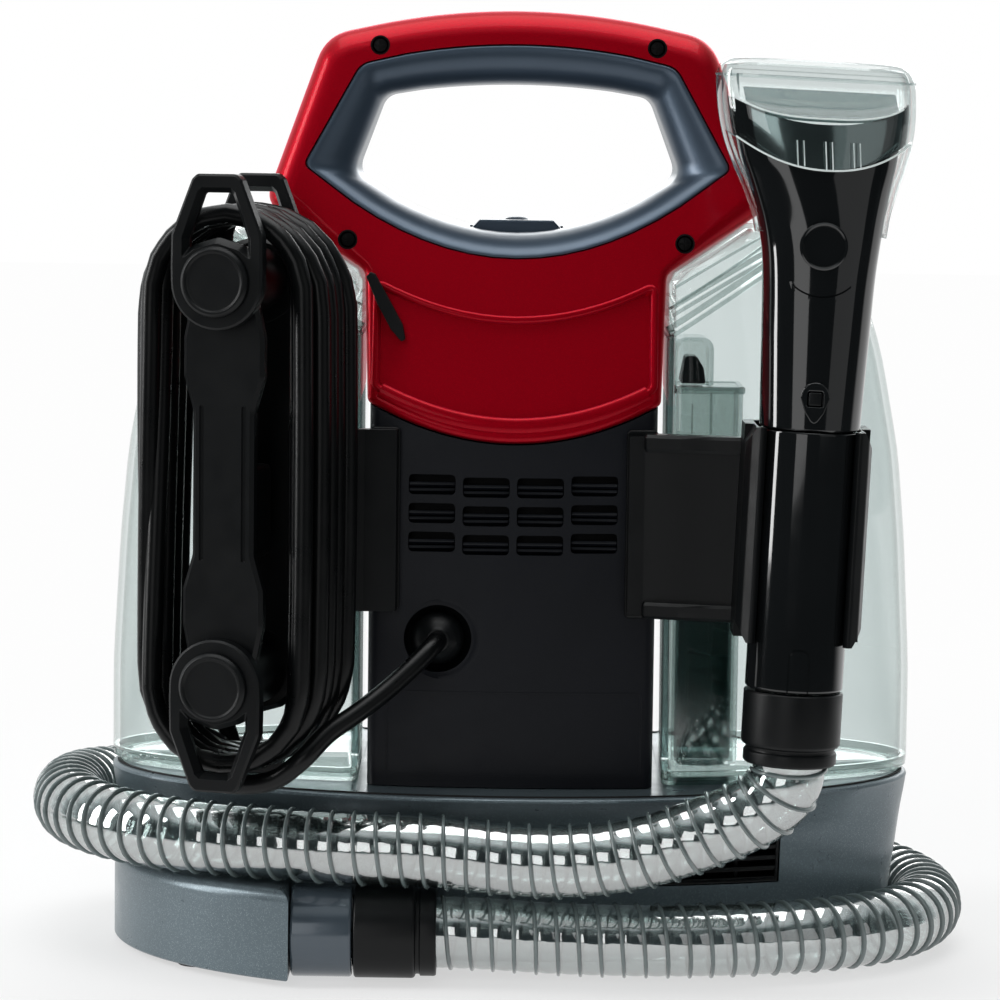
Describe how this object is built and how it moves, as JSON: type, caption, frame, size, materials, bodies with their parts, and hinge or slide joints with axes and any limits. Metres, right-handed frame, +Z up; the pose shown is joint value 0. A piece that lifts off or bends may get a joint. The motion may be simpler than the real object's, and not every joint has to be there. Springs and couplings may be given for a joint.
{
  "type": "portable spot cleaner",
  "caption": "Portable carpet spot cleaner with carry handle, two clear tanks, cord winder, ribbed suction hose and a clipped hand tool.",
  "frame": {"origin": "on the floor under the middle of the overall box", "axes": "+Z up, +X to the right seen from the cord-winder side, which faces -Y"},
  "size_m": [0.3436, 0.2268, 0.34],
  "materials": {
    "candy_red": "metallic red moulded plastic, high gloss",
    "grip_slate": "satin slate plastic",
    "column_dark": "satin blue-black plastic",
    "base_grey": "satin grey plastic with a fine metallic fleck",
    "black_satin": "satin black plastic",
    "wand_gloss": "polished black plastic",
    "screw_black": "black steel",
    "cord_black": "soft black vinyl",
    "rubber_black": "matte rubber",
    "tank_clear": "smoky clear plastic",
    "tool_clear": "clear plastic",
    "hose_clear": "clear ribbed vinyl",
    "steel": "plain steel",
    "white_plastic": "natural moulded plastic"
  },
  "bodies": {
    "machine": {"base_housing": "base_grey", "base_plate": "black_satin", "foot_1": "rubber_black", "foot_2": "rubber_black", "foot_3": "rubber_black", "foot_4": "rubber_black", "rear_cover": "column_dark", "front_cover": "column_dark", "rear_handle_shell": "candy_red", "front_handle_shell": "candy_red", "rear_grip_liner": "grip_slate", "front_grip_liner": "grip_slate", "handle_screw_1": "screw_black", "handle_screw_2": "screw_black", "handle_screw_3": "screw_black", "handle_screw_4": "screw_black", "cord_winder": "black_satin", "hook_top_cap": "black_satin", "hook_bottom_cap": "black_satin", "tool_holder": "black_satin", "power_cord": "cord_black", "power_plug": "cord_black", "cord_grommet": "cord_black", "hose_port": "base_grey", "hose_base_cuff": "black_satin", "suction_hose": "hose_clear", "motor_housing": "steel", "fan_housing": "white_plastic", "motor_gasket": "rubber_black", "pump_body": "white_plastic", "power_switch": "black_satin", "suction_duct": "black_satin", "water_tube": "white_plastic", "exhaust_grille": "black_satin"},
    "power_button_body": {"power_button": "grip_slate"},
    "hook_top_body": {"hook_top_loop": "black_satin"},
    "hook_bottom_body": {"hook_bottom_loop": "black_satin"},
    "clean_tank_body": {"clean_tank_shell": "tank_clear", "clean_tank_lid": "tank_clear"},
    "clean_cap_body": {"clean_tank_cap": "black_satin"},
    "dirty_tank_body": {"dirty_tank_shell": "tank_clear", "dirty_tank_lid": "tank_clear", "dirty_tank_stack": "tank_clear"},
    "float_body": {"dirty_tank_float": "black_satin"},
    "latch_body": {"tank_latch": "black_satin"},
    "wand_body": {"wand_handle": "wand_gloss", "wand_valve": "steel"},
    "trigger_body": {"spray_trigger": "black_satin"},
    "cuff_body": {"hose_wand_cuff": "black_satin"},
    "tool_body": {"tool_neck": "wand_gloss", "tool_window": "tool_clear", "tool_badge": "wand_gloss", "spray_tip": "black_satin"},
    "release_body": {"release_button": "black_satin"},
    "rotor_body": {"fan_impeller": "steel"}
  },
  "joints": [
    {"name": "power_button_press", "type": "slide", "parent": "machine", "child": "power_button_body", "axis": [0, 0, -1], "range_m": [0, 0.0025]},
    {"name": "hook_top_turn", "type": "hinge", "parent": "machine", "child": "hook_top_body", "pos_m": [-0.09649, -0.10588, 0.2453], "axis": [0.2756, 0.9613, 0], "range_deg": [0, 180]},
    {"name": "hook_bottom_turn", "type": "hinge", "parent": "machine", "child": "hook_bottom_body", "pos_m": [-0.09649, -0.10588, 0.1076], "axis": [0.2756, 0.9613, 0], "range_deg": [0, 180]},
    {"name": "clean_tank_slide", "type": "slide", "parent": "machine", "child": "clean_tank_body", "axis": [-0.9397, 0, 0.342], "range_m": [0, 0.16]},
    {"name": "clean_cap_turn", "type": "hinge", "parent": "clean_tank_body", "child": "clean_cap_body", "pos_m": [-0.09599, -0.00088, 0.0667], "axis": [0, 0, 1], "range_deg": [0, 90]},
    {"name": "dirty_tank_slide", "type": "slide", "parent": "machine", "child": "dirty_tank_body", "axis": [0.9397, 0, 0.342], "range_m": [0, 0.16]},
    {"name": "float_rise", "type": "slide", "parent": "dirty_tank_body", "child": "float_body", "axis": [0, 0, 1], "range_m": [0, 0.004]},
    {"name": "tank_latch_turn", "type": "hinge", "parent": "machine", "child": "latch_body", "pos_m": [-0.04659, -0.04766, 0.2446], "axis": [0, -0.9678, 0.2516], "range_deg": [0, 15]},
    {"name": "wand_lift", "type": "slide", "parent": "machine", "child": "wand_body", "axis": [0.0401, 0, 0.9992], "range_m": [0, 0.07]},
    {"name": "trigger_squeeze", "type": "hinge", "parent": "wand_body", "child": "trigger_body", "pos_m": [0.10396, -0.08288, 0.18352], "axis": [-0.9992, 0, 0.0401], "range_deg": [0, 8]},
    {"name": "cuff_swivel", "type": "hinge", "parent": "wand_body", "child": "cuff_body", "pos_m": [0.09991, -0.09588, 0.0826], "axis": [0.0401, 0, 0.9992], "continuous": true},
    {"name": "tool_head_detach", "type": "slide", "parent": "wand_body", "child": "tool_body", "axis": [0.0401, 0, 0.9992], "range_m": [0, 0.04]},
    {"name": "release_button_press", "type": "slide", "parent": "tool_body", "child": "release_body", "axis": [0, 1, 0], "range_m": [0, 0.0015]},
    {"name": "rotor_spin", "type": "hinge", "parent": "machine", "child": "rotor_body", "pos_m": [0.00401, -0.00088, 0.09], "axis": [0, 0, 1], "continuous": true}
  ]
}
